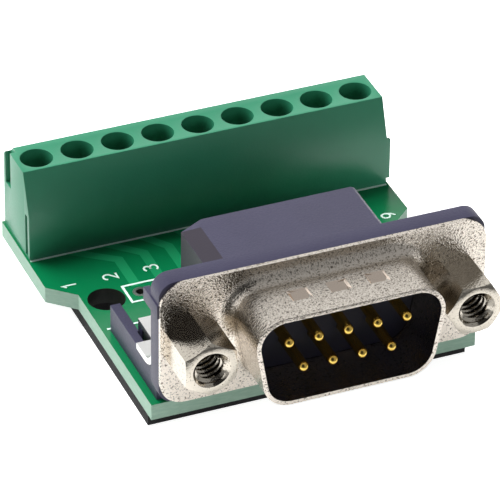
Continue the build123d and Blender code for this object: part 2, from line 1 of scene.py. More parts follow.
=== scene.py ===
"""Finish of a D-sub terminal block adapter: a nine-pin plug and nine screw terminals on one board.

Every length is in metres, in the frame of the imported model: X across the board, Y from the plug
towards the terminal block, Z up, origin between the two mounting holes on the underside.
"""
import logging
import math
from dataclasses import dataclass
from enum import Enum
from typing import Callable, Sequence

import bmesh
import bpy
from mathutils import Matrix, Vector

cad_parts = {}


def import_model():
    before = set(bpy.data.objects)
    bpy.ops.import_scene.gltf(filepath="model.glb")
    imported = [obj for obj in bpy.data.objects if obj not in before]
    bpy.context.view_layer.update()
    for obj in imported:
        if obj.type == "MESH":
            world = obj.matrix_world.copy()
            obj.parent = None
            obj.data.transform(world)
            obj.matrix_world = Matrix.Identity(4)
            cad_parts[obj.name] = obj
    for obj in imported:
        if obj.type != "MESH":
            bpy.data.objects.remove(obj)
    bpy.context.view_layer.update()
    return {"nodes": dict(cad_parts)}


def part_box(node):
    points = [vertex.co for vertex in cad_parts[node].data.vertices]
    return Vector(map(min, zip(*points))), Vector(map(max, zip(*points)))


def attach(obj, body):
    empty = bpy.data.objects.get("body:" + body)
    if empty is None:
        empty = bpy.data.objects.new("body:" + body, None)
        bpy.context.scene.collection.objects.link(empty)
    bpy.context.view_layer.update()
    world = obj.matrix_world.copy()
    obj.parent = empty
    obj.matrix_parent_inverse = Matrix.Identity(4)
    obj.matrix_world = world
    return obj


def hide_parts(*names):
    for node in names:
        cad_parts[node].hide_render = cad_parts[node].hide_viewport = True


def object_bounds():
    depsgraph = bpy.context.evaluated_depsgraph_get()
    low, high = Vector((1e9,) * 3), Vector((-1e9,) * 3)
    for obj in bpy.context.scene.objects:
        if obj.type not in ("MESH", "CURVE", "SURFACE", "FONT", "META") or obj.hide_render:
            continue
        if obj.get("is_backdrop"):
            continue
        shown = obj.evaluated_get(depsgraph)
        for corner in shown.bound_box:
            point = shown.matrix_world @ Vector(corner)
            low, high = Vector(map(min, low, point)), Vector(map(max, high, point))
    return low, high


MM = 0.001
# Pins of the plug, holes of the header and terminals of the block
WAYS = 9
# Points nearer than this are one point
WELD = 0.001 * MM
# Angles in degrees: a flat face stays flat below the first, an edge is rounded from the second on,
# and faces shade as one below the third
FLAT, HARD, SMOOTH = 1, 40, 35
# Shares of a normal along an axis: a face looks squarely that way, or more that way than aside
SQUARELY, MOSTLY = 0.9, 0.5

Point = tuple[float, float]
Tree = bpy.types.NodeTree
Node = bpy.types.Node
Socket = bpy.types.NodeSocket
Material = bpy.types.Material
Object = bpy.types.Object
BMesh = bmesh.types.BMesh
log = logging.getLogger("adapter")


class Level(Enum):
    """How a flat mark sits on the board's upper face, in millimetres above it."""

    TRACE = 0.018
    RING = 0.03
    INK = 0.032


def linear(hex_colour: str) -> tuple[float, float, float, float]:
    """Turn an sRGB hex colour into linear RGBA.

    Args:
        hex_colour: Colour such as "#3f9974".

    Returns:
        Linear red, green, blue and alpha.
    """
    channels = [int(hex_colour[i:i + 2], 16) / 255 for i in (1, 3, 5)]
    rgb = [c / 12.92 if c <= 0.04045 else ((c + 0.055) / 1.055) ** 2.4 for c in channels]
    return (*rgb, 1.0)


def add_node(tree: Tree, kind: str, inputs: dict | None = None, **settings: object) -> Node:
    """Add one shader node with its settings, values and links.

    Args:
        tree: Node tree that gets the node.
        kind: Blender's name of the node type, without ShaderNode in front.
        inputs: Socket name or number to a value, or to the output socket that feeds it.
        **settings: Attributes of the node itself.

    Returns:
        The new node.
    """
    node = tree.nodes.new("ShaderNode" + kind)
    for name, value in settings.items():
        setattr(node, name, value)
    for socket, value in (inputs or {}).items():
        if isinstance(value, Socket):
            tree.links.new(value, node.inputs[socket])
        else:
            node.inputs[socket].default_value = value
    return node


def new_material(name: str) -> tuple[Material, Tree]:
    """Make an empty material with a node tree.

    Args:
        name: Name of the material.

    Returns:
        The material and its tree.
    """
    material = bpy.data.materials.new(name)
    material.use_nodes = True
    material.node_tree.nodes.clear()
    return material, material.node_tree


def finish_material(
    material: Material, viewport: str, colour: Node, rough: Node, height: Socket, relief_mm: float,
    constants: dict[str, float],
) -> Material:
    """Close a material with its relief, its shader, its output and a colour for the viewport.

    Args:
        material: The material.
        viewport: Hex colour for the viewport.
        colour: Node whose result is the colour.
        rough: Node whose result is the roughness.
        height: Output that gives the height of the relief.
        relief_mm: Height of the relief in millimetres.
        constants: What is the same all over the surface.

    Returns:
        The same material.
    """
    tree = material.node_tree
    bump = add_node(tree, "Bump", {"Height": height, "Distance": relief_mm * MM})
    shader = add_node(
        tree, "BsdfPrincipled",
        {
            "Base Color": colour.outputs["Result"], "Roughness": rough.outputs["Result"],
            "Normal": bump.outputs["Normal"], **constants,
        },
    )
    add_node(tree, "OutputMaterial", {"Surface": shader.outputs[0]})
    material.diffuse_color = linear(viewport)
    return material


@dataclass(frozen=True)
class Moulded:
    """Moulded plastic, foam or ink: one dyed colour, an even grain and slight mottling.

    Args:
        name: Material name.
        colour: Main sRGB colour.
        cloud: Second colour that drifts through the first.
        grain_mm: Width of one grain, drawn coarser than the real one so that it shows.
        relief_mm: Height of the grain.
        roughness: Mean roughness.
        swing: How far the roughness goes up and down with the grain.
        cloud_mm: Width of one cloud of the second colour.
        ior: Index of refraction.
    """

    name: str
    colour: str
    cloud: str
    grain_mm: float
    relief_mm: float
    roughness: float
    swing: float = 0.07
    cloud_mm: float = 4.0
    ior: float = 1.53

    def build(self) -> Material:
        """Build the material."""
        material, tree = new_material(self.name)
        place = add_node(tree, "TexCoord").outputs["Object"]
        drift = add_node(
            tree, "TexNoise", {"Vector": place, "Scale": 1 / (self.cloud_mm * MM), "Detail": 3.0}
        )
        grain = add_node(
            tree, "TexNoise",
            {"Vector": place, "Scale": 1 / (self.grain_mm * MM), "Detail": 2.0, "Roughness": 0.6},
        ).outputs["Fac"]
        colour = add_node(
            tree, "Mix",
            {"Factor": drift.outputs["Fac"], "A": linear(self.colour), "B": linear(self.cloud)},
            data_type="RGBA",
        )
        low, high = self.roughness - self.swing, self.roughness + self.swing
        rough = add_node(tree, "MapRange", {"Value": grain, "To Min": low, "To Max": high})
        return finish_material(
            material, self.colour, colour, rough, grain, self.relief_mm, {"IOR": self.ior}
        )


@dataclass(frozen=True)
class Metal:
    """Plated or plain metal, with a fine grain that breaks up what it mirrors.

    Args:
        name: Material name.
        colour: sRGB colour of the metal.
        tarnish: Colour of the pits.
        grain_mm: Width of one grain, drawn coarser than the real one so that it shows.
        relief_mm: Height of the grain.
        roughness: Mean roughness.
        pits: How many of the grains are dull pits, from 0 to 1.
        pit_level: Height of the grain where pits start when there are few.
        pit_span: How far that height comes down when there are many.
        pit_rim: How softly a pit starts.
        patch_mm: Width of one duller or shinier patch.
        swing: Share by which the roughness goes up and down from patch to patch.
    """

    name: str
    colour: str
    tarnish: str
    grain_mm: float
    relief_mm: float
    roughness: float
    pits: float = 0.2
    pit_level: float = 0.7
    pit_span: float = 0.3
    pit_rim: float = 0.12
    patch_mm: float = 2.5
    swing: float = 0.4

    def build(self) -> Material:
        """Build the material."""
        material, tree = new_material(self.name)
        place = add_node(tree, "TexCoord").outputs["Object"]
        patches = add_node(
            tree, "TexNoise", {"Vector": place, "Scale": 1 / (self.patch_mm * MM), "Detail": 4.0}
        ).outputs["Fac"]
        grain = add_node(
            tree, "TexNoise",
            {"Vector": place, "Scale": 1 / (self.grain_mm * MM), "Detail": 2.0, "Roughness": 0.7},
        ).outputs["Fac"]
        pit_start = self.pit_level - self.pit_span * self.pits
        dull = add_node(
            tree, "MapRange",
            {"Value": grain, "From Min": pit_start, "From Max": pit_start + self.pit_rim},
        )
        colour = add_node(
            tree, "Mix",
            {"Factor": dull.outputs["Result"], "A": linear(self.colour), "B": linear(self.tarnish)},
            data_type="RGBA",
        )
        low, high = self.roughness * (1 - self.swing), self.roughness * (1 + self.swing)
        rough = add_node(tree, "MapRange", {"Value": patches, "To Min": low, "To Max": high})
        return finish_material(
            material, self.colour, colour, rough, grain, self.relief_mm, {"Metallic": 1.0}
        )


@dataclass(frozen=True)
class MaskedLaminate:
    """Glass-epoxy board: glossy solder mask on both faces, sawn woven laminate on the edges.

    Args:
        name: Material name.
        mask: Colour of the solder mask.
        mask_deep: Colour of the mask where it lies thicker.
        edge: Colour of the sawn edge.
        edge_dark: Colour between the glass bundles of the edge.
        ply_mm: Thickness of one glass ply.
        relief_mm: Height of the plies on the sawn edge.
        mask_roughness: Roughness of the mask.
        edge_roughness: Roughness of the sawn edge.
        cloud_mm: Width of one thicker spot of the mask.
        ior: Index of refraction.
    """

    name: str
    mask: str
    mask_deep: str
    edge: str
    edge_dark: str
    ply_mm: float
    relief_mm: float
    mask_roughness: float
    edge_roughness: float = 0.65
    cloud_mm: float = 6.0
    ior: float = 1.55

    def build(self) -> Material:
        """Build the material."""
        material, tree = new_material(self.name)
        place = add_node(tree, "TexCoord").outputs["Object"]
        geometry = add_node(tree, "NewGeometry")
        normal = add_node(tree, "SeparateXYZ", {"Vector": geometry.outputs["True Normal"]})
        upright = add_node(tree, "Math", {0: normal.outputs["Z"]}, operation="ABSOLUTE")
        flat = add_node(
            tree, "Math", {0: upright.outputs[0], 1: SQUARELY}, operation="GREATER_THAN"
        ).outputs[0]
        drift = add_node(
            tree, "TexNoise", {"Vector": place, "Scale": 1 / (self.cloud_mm * MM), "Detail": 2.0}
        ).outputs["Fac"]
        squeezed = add_node(
            tree, "Mapping", {"Vector": place, "Scale": (1 / MM, 1 / MM, 1 / (self.ply_mm * MM))}
        )
        plies = add_node(
            tree, "TexNoise",
            {"Vector": squeezed.outputs[0], "Scale": 1.0, "Detail": 4.0, "Roughness": 0.7},
        ).outputs["Fac"]
        mask, edge = (
            add_node(
                tree, "Mix", {"Factor": share, "A": linear(first), "B": linear(second)}, data_type="RGBA"
            ).outputs["Result"]
            for share, first, second in (
                (drift, self.mask, self.mask_deep), (plies, self.edge, self.edge_dark)
            )
        )
        colour = add_node(tree, "Mix", {"Factor": flat, "A": edge, "B": mask}, data_type="RGBA")
        rough = add_node(
            tree, "MapRange",
            {"Value": flat, "To Min": self.edge_roughness, "To Max": self.mask_roughness},
        )
        height = add_node(tree, "Math", {0: plies, 1: flat}, operation="SUBTRACT")
        return finish_material(
            material, self.mask, colour, rough, height.outputs[0], self.relief_mm, {"IOR": self.ior}
        )


# Black glass-filled polyester of the plug's housing: satin grain, reads violet-grey where lit
HOUSING_POLYESTER = Moulded(
    "moulded_polyester_black", "#2f2d42", "#37354c", grain_mm=0.2, relief_mm=0.03, roughness=0.5
)
# The same polyester, smoother, in a darker browner colour that is painted shade on the body's left wall and
# the broad slope along its left upper edge
HOUSING_SHADED_BAND = Moulded(
    "moulded_polyester_band_painted_shade", "#25202b", "#2b2531", grain_mm=0.2, relief_mm=0.004, roughness=0.42
)
# The same polyester inside the mouth, smoother; its darker navy-black colour is painted shade of the
# mouth's recess
INSERT_SHADED_POLYESTER = Moulded(
    "moulded_polyester_insert_painted_shade", "#070918", "#0b0e22", grain_mm=0.2, relief_mm=0.006, roughness=0.6
)
# Green polyamide of the terminal block: slightly waxy, soft broad highlights
BLOCK_POLYAMIDE = Moulded(
    "moulded_polyamide_green", "#2b7a5b", "#318262", grain_mm=0.22, relief_mm=0.008, roughness=0.34
)
# Closed-cell foam pad: dull black with visible cells
PAD_FOAM = Moulded(
    "foam_pad_black", "#0b0b0d", "#131315", grain_mm=0.3, relief_mm=0.06, roughness=0.85
)
# Wall of the mounting holes: a dark colour that is painted shade inside the holes
HOLE_WALL_SHADE = Moulded(
    "hole_wall_painted_shade", "#16241c", "#22251b", grain_mm=0.2, relief_mm=0.02, roughness=0.6
)
# Copper under the mask: the mask looks lighter over it
MASKED_COPPER = Moulded(
    "solder_mask_over_copper", "#178252", "#1d8a59", grain_mm=0.5, relief_mm=0.002, roughness=0.22
)
# White legend ink: chalky, slightly raised
LEGEND_INK = Moulded(
    "legend_ink_white", "#dcf0e8", "#cfe6dd", grain_mm=0.12, relief_mm=0.004, roughness=0.6
)
# Nickel plate over drawn steel: warm grey mirror broken by a sandy grain
NICKEL_PLATE = Metal(
    "nickel_plate_on_steel", "#e2dacf", "#6e6256", grain_mm=0.2, relief_mm=0.06, roughness=0.1, pits=0.5
)
# The same plate on the floors of the pressed dimples: smoother, without the sand, in a brighter, browner
# tint that is a painted reflection
NICKEL_DIMPLE_REFLECTION = Metal(
    "nickel_plate_dimple_painted_reflection", "#f6e6d6", "#c9b6a3", grain_mm=0.2, relief_mm=0.012, roughness=0.18, pits=0.15
)
# Nickel plate over turned brass of the jack screws: smoother, with a little of the same sand
NICKEL_TURNED = Metal(
    "nickel_plate_on_brass", "#cfc8bb", "#7b7063", grain_mm=0.2, relief_mm=0.016, roughness=0.1, pits=0.4
)
# Gold flash on the pins: yellow, nearly polished
GOLD_FLASH = Metal(
    "gold_flash_on_brass", "#f5d06a", "#d8a53a", grain_mm=0.14, relief_mm=0.008, roughness=0.14
)
# Bright tin on the brackets: white, soft mirror
BRIGHT_TIN = Metal(
    "bright_tin_on_steel", "#f6f6f4", "#e6e6e2", grain_mm=0.3, relief_mm=0.003, roughness=0.32
)
# Tin on the contact bars and the rings of the board: greyer, as it froze after the solder bath
DULL_TIN = Metal("reflowed_tin", "#d9dad6", "#b4b6b2", grain_mm=0.2, relief_mm=0.006, roughness=0.3)
# Zinc plate on the clamp screws and cages: bluish and duller
ZINC_PLATE = Metal(
    "zinc_plate_on_steel", "#b9bdc2", "#8d9092", grain_mm=0.14, relief_mm=0.006, roughness=0.32
)
# Solder alloy: silver-grey with a soft flowed skin
SOLDER = Metal("tin_solder", "#cfd0cf", "#a9aaa9", grain_mm=0.4, relief_mm=0.006, roughness=0.22)
# Glass-epoxy laminate with green solder mask: glossy green faces, pale layered sawn edges
BOARD_LAMINATE = MaskedLaminate(
    "solder_mask_on_glass_epoxy", mask="#077144", mask_deep="#056a3e", edge="#a9c6b5",
    edge_dark="#7da28d", ply_mm=0.18, relief_mm=0.02, mask_roughness=0.2,
)


def mesh_object(name: str, bm: BMesh, material: Material, smooth: float = 0) -> Object:
    """Turn a bmesh into an object of the scene.

    Args:
        name: Name of the object.
        bm: Mesh to keep, freed here.
        material: Its only material.
        smooth: Largest angle in degrees between faces that shade as one, 0 for flat shading.

    Returns:
        The object.
    """
    bmesh.ops.recalc_face_normals(bm, faces=bm.faces)
    if smooth:
        limit = math.radians(smooth)
        for face in bm.faces:
            face.smooth = True
        for edge in bm.edges:
            edge.smooth = len(edge.link_faces) == 2 and edge.calc_face_angle() < limit
    mesh = bpy.data.meshes.new(name)
    bm.to_mesh(mesh)
    bm.free()
    mesh.materials.append(material)
    obj = bpy.data.objects.new(name, mesh)
    bpy.context.scene.collection.objects.link(obj)
    return obj


def settle(obj: Object, body: str, slot: str, *nodes: str) -> None:
    """Put a piece on its body, in the place of the nodes it stands for.

    Args:
        obj: The piece.
        body: Body that carries it.
        slot: Not used.
        *nodes: Nodes that it replaces.
    """
    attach(obj, body)
    if nodes:
        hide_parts(*nodes)
    log.info("%s rides on %s", obj.name, body)


def dress(node: Object, material: Material) -> None:
    """Give a carried-over node its material.

    Args:
        node: Object of the node.
        material: Material for all its faces.
    """
    if not node.material_slots:
        node.data.materials.append(material)
    for slot in node.material_slots:
        slot.material = material
    log.info("%s wears %s", node.name, material.name)


def softened(
    node: Object, name: str, material: Material, radius: float,
    reshape: Callable[[BMesh], None] | None = None,
) -> Object:
    """Copy a node with its flat faces joined and its hard edges rounded, as a mould leaves them.

    Args:
        node: Node that the copy stands for.
        name: Name of the copy.
        material: Material of the copy.
        radius: Radius of the rounding, 0 for none.
        reshape: Changes the joined mesh before its edges are rounded.

    Returns:
        The rounded copy.
    """
    bm = bmesh.new()
    bm.from_mesh(node.data)
    bmesh.ops.remove_doubles(bm, verts=bm.verts, dist=WELD)
    if reshape:
        reshape(bm)
    bmesh.ops.dissolve_limit(bm, angle_limit=math.radians(FLAT), verts=bm.verts, edges=bm.edges)
    if radius:
        hard = [
            edge for edge in bm.edges
            if len(edge.link_faces) == 2 and edge.calc_face_angle() >= math.radians(HARD)
        ]
        bmesh.ops.bevel(
            bm, geom=hard, offset=radius, offset_type="OFFSET", segments=3, profile=0.5,
            affect="EDGES", clamp_overlap=True,
        )
    return mesh_object(name, bm, material, SMOOTH)


def ribbon(bm: BMesh, points: Sequence[Point], width: float, low: float, high: float) -> None:
    """Add a flat line of ink or copper along some points, mitred at its corners.

    Args:
        bm: Mesh that gets it.
        points: Corners of the line's middle; the first one again at the end closes the line.
        width: Width of the line.
        low: Height of its underside.
        high: Height of its top.
    """
    path = [Vector(point) for point in points]
    closed = (path[0] - path[-1]).length < WELD
    if closed:
        path.pop()
    rows = []
    for i, point in enumerate(path):
        before = point - path[i - 1] if i or closed else path[1] - point
        after = path[(i + 1) % len(path)] - point if i + 1 < len(path) or closed else before
        turn = before.normalized() + after.normalized()
        side = Vector((-turn.y, turn.x)).normalized()
        stretch = side.dot(Vector((-after.y, after.x)).normalized())
        # At a sharp corner the mitre stays within twice the width
        reach = side * (width / 2 / max(0.5, stretch))
        corners = ((point + reach, low), (point - reach, low), (point - reach, high), (point + reach, high))
        rows.append([bm.verts.new((*flat, level)) for flat, level in corners])
    links = list(zip(rows, rows[1:]))
    if closed:
        links.append((rows[-1], rows[0]))
    else:
        bm.faces.new(rows[0])
        bm.faces.new(rows[-1][::-1])
    for first, second in links:
        for i in range(4):
            j = (i + 1) % 4
            bm.faces.new((first[i], second[i], second[j], first[j]))


def skin(bm: BMesh, rings: Sequence[Sequence[Vector]], closed: bool = False) -> None:
    """Stretch faces between rings of points; a ring of one point is a tip.

    Args:
        bm: Mesh that gets the form.
        rings: Rings of points, all of one length except for tips.
        closed: True where the last ring joins the first.
    """
    steps = max(len(ring) for ring in rings)
    levels = []
    for ring in rings:
        verts = [bm.verts.new(point) for point in ring]
        levels.append(verts * steps if len(verts) == 1 else verts)
    pairs = list(zip(levels, levels[1:]))
    if closed:
        pairs.append((levels[-1], levels[0]))
    for lower, upper in pairs:
        for i in range(steps):
            j = (i + 1) % steps
            corners = list(dict.fromkeys((lower[i], lower[j], upper[j], upper[i])))
            if len(corners) > 2:
                bm.faces.new(corners)


def ring_at(
    place: Matrix, steps: int, radius: Callable[[float], float], height: Callable[[float], float]
) -> list[Vector]:
    """Ring of points about the Z axis of a place.

    Args:
        place: Where the axis stands.
        steps: Number of points.
        radius: Radius at an angle in radians.
        height: Height at an angle in radians.

    Returns:
        The points.
    """
    angles = [math.tau * i / steps for i in range(steps)]
    return [
        place @ Vector((radius(a) * math.cos(a), radius(a) * math.sin(a), height(a))) for a in angles
    ]


def lathe(
    bm: BMesh, profile: Sequence[Point], place: Matrix, steps: int, closed: bool = False
) -> None:
    """Turn a profile of (radius, height) about the Z axis of a place.

    Args:
        bm: Mesh that gets the form.
        profile: Points of the profile.
        place: Where the axis stands.
        steps: Number of steps in a turn.
        closed: True where the last point joins the first.
    """
    rings = []
    for radius, height in profile:
        if radius < WELD:
            rings.append([place @ Vector((0, 0, height))])
        else:
            rings.append(ring_at(place, steps, lambda a: radius, lambda a: height))
    skin(bm, rings, closed)


def facing_front(x: float, y: float, z: float) -> Matrix:
    """Place whose Z axis points out of the plug's mouth.

    Args:
        x: Place across the board.
        y: Depth of the place.
        z: Height of the place.

    Returns:
        The place as a matrix.
    """
    axes = Matrix(((1, 0, 0), (0, 0, -1), (0, 1, 0)))
    return Matrix.Translation((x, y, z)) @ axes.to_4x4()


@dataclass
class Board:
    """Circuit board: laminate, mask, copper, rings, legend and solder joints.

    Places are counted from the middle of the header row. The inset of a pin or a bar runs from its
    outer face to the middle of its tail.
    """

    header_pitch: float = 2.54 * MM
    pole_pitch: float = 3.96 * MM
    mount_x: float = 13.45 * MM
    mount_reach: float = 1.85 * MM
    hole_radius: float = 0.45 * MM
    ring_radius: float = 0.72 * MM
    ring_overhang: float = 0.03 * MM
    barrel_gap: float = 0.01 * MM
    ring_steps: int = 32
    trace_width: float = 0.95 * MM
    trace_start: float = 1.0 * MM
    trace_knee: float = 6.4 * MM
    knee_step: float = 0.2 * MM
    trace_end: float = 9.8 * MM
    trace_layer: float = 0.0001 * MM
    print_sink: float = 0.01 * MM
    line_width: float = 0.23 * MM
    stroke_width: float = 0.18 * MM
    stroke_layer: float = 0.001 * MM
    digit_height: float = 1.3 * MM
    digit_width: float = 0.88 * MM
    digit_row_y: float = 3.25 * MM
    block_line_y: float = 8.2 * MM
    block_line_inset: float = 0.2 * MM
    plug_line_y: float = -4.5 * MM
    plug_line_half: float = 15.1 * MM
    header_half_x: float = 11.43 * MM
    header_half_y: float = 1.34 * MM
    pin_joint: float = 0.85 * MM
    pin_inset: float = 0.3 * MM
    bar_joint: float = 1.05 * MM
    bar_inset: float = 0.25 * MM
    joint_neck: float = 0.34 * MM
    joint_height: float = 0.9 * MM
    joint_sink: float = 0.05 * MM
    bare_tip: float = 0.15 * MM
    joint_rows: int = 7
    joint_steps: int = 24

    def top(self) -> float:
        """Height of the board's upper face."""
        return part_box("circuit_board")[1].z

    def under(self) -> float:
        """Height of the board's lower face."""
        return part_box("circuit_board")[0].z

    def header_x(self, index: int) -> float:
        """Place of one header hole along the row."""
        return (index - (WAYS - 1) / 2) * self.header_pitch

    def pole_x(self, index: int) -> float:
        """Place of one terminal along the block."""
        return (index - (WAYS - 1) / 2) * self.pole_pitch

    def dress(self, nodes: dict[str, Object]) -> None:
        """Dress the board and its pad and lay everything on them.

        Args:
            nodes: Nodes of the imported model.
        """
        board = nodes["circuit_board"]
        dress(board, BOARD_LAMINATE.build())
        # The walls of the mounting holes get a dark colour: painted shade
        board.data.materials.append(HOLE_WALL_SHADE.build())
        for polygon in board.data.polygons:
            aside = abs(abs(polygon.center.x) - self.mount_x)
            in_hole = max(aside, abs(polygon.center.y)) < self.mount_reach
            if in_hole and abs(polygon.normal.z) < MOSTLY:
                polygon.material_index = 1
        dress(nodes["insulating_pad"], PAD_FOAM.build())
        self.copper()
        self.rings()
        self.legend()
        self.solder()

    def copper(self) -> None:
        """Lay the traces that run from the header holes towards the terminal block."""
        bm = bmesh.new()
        low = self.top() - self.print_sink
        for index in range(WAYS):
            near, far = self.header_x(index), self.pole_x(index)
            knee = self.trace_knee - abs(index - (WAYS - 1) / 2) * self.knee_step
            path = [(near, self.trace_start), (near, knee), (far, self.trace_end)]
            high = self.top() + Level.TRACE.value * MM + index * self.trace_layer
            ribbon(bm, path, self.trace_width, low, high)
        settle(mesh_object("copper_traces", bm, MASKED_COPPER.build()), "root", "board")

    def rings(self) -> None:
        """Plate the header holes: a tinned ring on each face and the barrel between."""
        bm = bmesh.new()
        rise = Level.RING.value * MM
        under, top = self.under(), self.top()
        mouth = self.hole_radius - self.ring_overhang
        barrel = self.hole_radius + self.barrel_gap
        profile = [
            (mouth, under - rise), (self.ring_radius, under - rise),
            (self.ring_radius, under + rise), (barrel, under + rise),
            (barrel, top - rise), (self.ring_radius, top - rise),
            (self.ring_radius, top + rise), (mouth, top + rise),
        ]
        for index in range(WAYS):
            place = Matrix.Translation((self.header_x(index), 0, 0))
            lathe(bm, profile, place, self.ring_steps, closed=True)
        settle(mesh_object("plated_holes", bm, DULL_TIN.build(), SMOOTH), "root", "tinned_copper")

    def digit(self, number: int) -> list[list[Point]]:
        """Strokes of a plain digit in a unit box, from the lower left corner.

        Args:
            number: Digit from 1 to 9.

        Returns:
            Lines of points.
        """
        def arc(cx: float, cy: float, rx: float, ry: float, first: float, last: float) -> list[Point]:
            """Points along part of an ellipse, about one for every 30 degrees."""
            steps = max(3, int(abs(last - first) / 30))
            angles = [math.radians(first + (last - first) * i / steps) for i in range(steps + 1)]
            return [(cx + rx * math.cos(a), cy + ry * math.sin(a)) for a in angles]

        strokes = {
            1: [[(0.25, 0.75), (0.55, 1.0), (0.55, 0.0)]],
            2: [arc(0.5, 0.7, 0.45, 0.3, 170, -35) + [(0.05, 0.0), (0.95, 0.0)]],
            3: [arc(0.45, 0.76, 0.42, 0.24, 150, -90) + arc(0.45, 0.27, 0.48, 0.27, 90, -150)],
            4: [[(0.7, 0.0), (0.7, 1.0), (0.05, 0.3)], [(0.05, 0.3), (0.98, 0.3)]],
            5: [[(0.9, 1.0), (0.15, 1.0), (0.1, 0.55)] + arc(0.48, 0.32, 0.45, 0.32, 130, -145)],
            6: [arc(0.5, 0.31, 0.42, 0.31, 0, 360), [(0.08, 0.33), (0.25, 0.75), (0.65, 1.0)]],
            7: [[(0.05, 1.0), (0.95, 1.0), (0.35, 0.0)]],
            8: [arc(0.5, 0.76, 0.36, 0.24, 0, 360), arc(0.5, 0.26, 0.44, 0.26, 0, 360)],
            9: [arc(0.5, 0.69, 0.42, 0.31, 0, 360), [(0.92, 0.67), (0.75, 0.25), (0.35, 0.0)]],
        }
        return strokes[number]

    def legend(self) -> None:
        """Print the plain numbers and the outlines round the parts."""
        bm = bmesh.new()
        low = self.top() - self.print_sink
        high = self.top() + Level.INK.value * MM
        for index in range(WAYS):
            for layer, stroke in enumerate(self.digit(index + 1)):
                points = [
                    (self.pole_x(index) - (v - 0.5) * self.digit_height,
                     self.digit_row_y + (u - 0.5) * self.digit_width)
                    for u, v in stroke
                ]
                ribbon(bm, points, self.stroke_width, low, high + layer * self.stroke_layer)
        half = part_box("circuit_board")[1].x - self.block_line_inset
        hx, hy = self.header_half_x, self.header_half_y
        px, py = self.plug_line_half, self.plug_line_y
        for line in (
            [(-half, self.block_line_y), (half, self.block_line_y)],
            [(-hx, -hy), (-hx, hy), (hx, hy), (hx, -hy), (-hx, -hy)],
            [(-px, py), (px, py)],
        ):
            ribbon(bm, line, self.line_width, low, high)
        settle(mesh_object("legend_print", bm, LEGEND_INK.build()), "root", "board")

    def solder(self) -> None:
        """Set a concave solder joint round every tail on the underside."""
        bm = bmesh.new()
        under = self.under()
        joints = []
        for kind, radius in (("contact_pin", self.pin_joint), ("terminal_contact", self.bar_joint)):
            for index in range(1, WAYS + 1):
                low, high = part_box(f"{kind}_{index}")
                y = low.y + self.bar_inset
                if kind == "contact_pin":
                    y = high.y - self.pin_inset
                joints.append((Matrix.Translation(((low.x + high.x) / 2, y, 0)), low.z, radius))
        for place, tip, radius in joints:
            drop = min(self.joint_height, under - tip - self.bare_tip)
            profile = [(0.0, under + self.joint_sink), (radius, under + self.joint_sink)]
            for i in range(self.joint_rows + 1):
                turn = i / self.joint_rows * math.pi / 2
                reach = radius + (self.joint_neck - radius) * math.sin(turn)
                profile.append((reach, under - drop * (1 - math.cos(turn))))
            lathe(bm, [*profile, (0.0, under - drop)], place, self.joint_steps)
        settle(mesh_object("solder_joints", bm, SOLDER.build(), HARD), "root", "tinned_copper")


